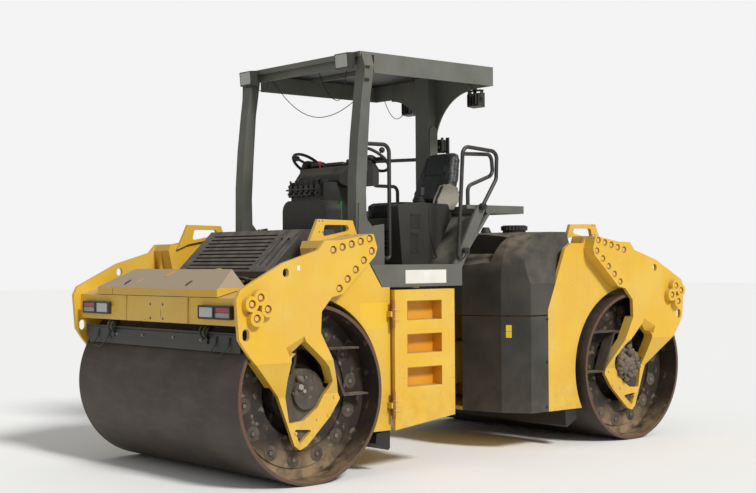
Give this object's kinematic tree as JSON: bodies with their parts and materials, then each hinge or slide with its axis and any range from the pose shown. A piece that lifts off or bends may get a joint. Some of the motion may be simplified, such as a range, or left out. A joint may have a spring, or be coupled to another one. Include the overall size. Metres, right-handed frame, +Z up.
{
  "type": "tandem road roller",
  "caption": "Articulated tandem vibratory road roller with steel drums, folded side forks, an open operator platform under a roof, a louvred engine hood and a moulded water tank.",
  "frame": {"origin": "on the ground at the centre of the bounding box's base, midway between the drum axles", "axes": "+X forward, the way the driver faces, +Y to the driver's left, +Z up"},
  "size_m": [4.6932, 2.3, 3.046],
  "materials": {
    "yellow_paint": "dusty yellow gloss paint",
    "grey_paint": "dark olive-grey satin paint",
    "drum_steel": "worn bare steel, dark and dusty",
    "black_steel": "black satin paint",
    "engine_iron": "painted casting",
    "dark_plastic": "moulded, grained and dusty",
    "wheel_rim": "soft black grip",
    "seat_cover": "black grained vinyl",
    "wire_jacket": "thin black jacket",
    "lamp_housing": "black housing"
  },
  "bodies": {
    "front_module": {"front_frame": "yellow_paint", "engine_block": "engine_iron", "platform": "grey_paint", "console": "dark_plastic", "steering_wheels": "wheel_rim", "seat_console": "dark_plastic", "seat_cushion": "seat_cover", "seat_back": "seat_cover", "front_posts": "grey_paint", "rear_post": "grey_paint", "roof": "grey_paint", "front_work_lights": "lamp_housing", "rear_work_lights": "lamp_housing", "handrails": "black_steel", "front_crossbeam": "yellow_paint", "front_lifting_lugs": "yellow_paint", "front_scraper": "black_steel", "front_lamps": "lamp_housing", "front_fork_left": "yellow_paint", "front_fork_right": "yellow_paint", "front_hub_left": "black_steel", "front_hub_right": "black_steel", "step_box_left": "yellow_paint", "step_box_right": "yellow_paint", "roof_wire_long": "wire_jacket", "roof_wire_loop": "wire_jacket", "roof_wire_centre": "wire_jacket", "lamp_wire": "wire_jacket"},
    "knuckle": {"articulation_link": "black_steel"},
    "rear_module": {"rear_frame": "yellow_paint", "rear_fork_left": "yellow_paint", "rear_fork_right": "yellow_paint", "rear_hub_left": "black_steel", "rear_hub_right": "black_steel", "rear_crossbeam": "yellow_paint", "rear_lifting_lugs": "yellow_paint", "rear_scraper": "black_steel", "rear_lamps": "lamp_housing", "water_tank": "dark_plastic", "side_panels": "dark_plastic", "breather_dome": "dark_plastic", "tank_cap": "dark_plastic"},
    "front_roll": {"front_drum": "drum_steel"},
    "rear_roll": {"rear_drum": "drum_steel"},
    "hood": {"louvre_hood": "dark_plastic"},
    "front_lid": {"front_cover": "yellow_paint"},
    "rear_lid": {"rear_cover": "yellow_paint"},
    "left_door": {"step_door_left": "yellow_paint"},
    "right_door": {"step_door_right": "yellow_paint"}
  },
  "joints": [
    {"name": "steer", "type": "hinge", "parent": "front_module", "child": "knuckle", "pos_m": [0, 0, 0.66], "axis": [0, 0, 1], "range_deg": [-35, 35]},
    {"name": "oscillate", "type": "hinge", "parent": "knuckle", "child": "rear_module", "pos_m": [-0.2, 0, 0.66], "axis": [1, 0, 0], "range_deg": [-8, 8]},
    {"name": "front_roll_spin", "type": "hinge", "parent": "front_module", "child": "front_roll", "pos_m": [1.7, 0, 0.61], "axis": [0, 1, 0], "continuous": true},
    {"name": "rear_roll_spin", "type": "hinge", "parent": "rear_module", "child": "rear_roll", "pos_m": [-1.7, 0, 0.61], "axis": [0, 1, 0], "continuous": true},
    {"name": "hood_lift", "type": "hinge", "parent": "front_module", "child": "hood", "pos_m": [1.104, 0, 1.752], "axis": [0, -1, 0], "range_deg": [0, 60]},
    {"name": "front_lid_lift", "type": "hinge", "parent": "front_module", "child": "front_lid", "pos_m": [2.04, 0, 1.452], "axis": [0, -1, 0], "range_deg": [0, 70]},
    {"name": "rear_lid_lift", "type": "hinge", "parent": "rear_module", "child": "rear_lid", "pos_m": [-2.04, 0, 1.452], "axis": [0, 1, 0], "range_deg": [0, 70]},
    {"name": "left_door_swing", "type": "hinge", "parent": "front_module", "child": "left_door", "pos_m": [0.958, 1.046, 0.8], "axis": [0, 0, -1], "range_deg": [0, 100]},
    {"name": "right_door_swing", "type": "hinge", "parent": "front_module", "child": "right_door", "pos_m": [0.958, -1.046, 0.8], "axis": [0, 0, 1], "range_deg": [0, 100]}
  ]
}
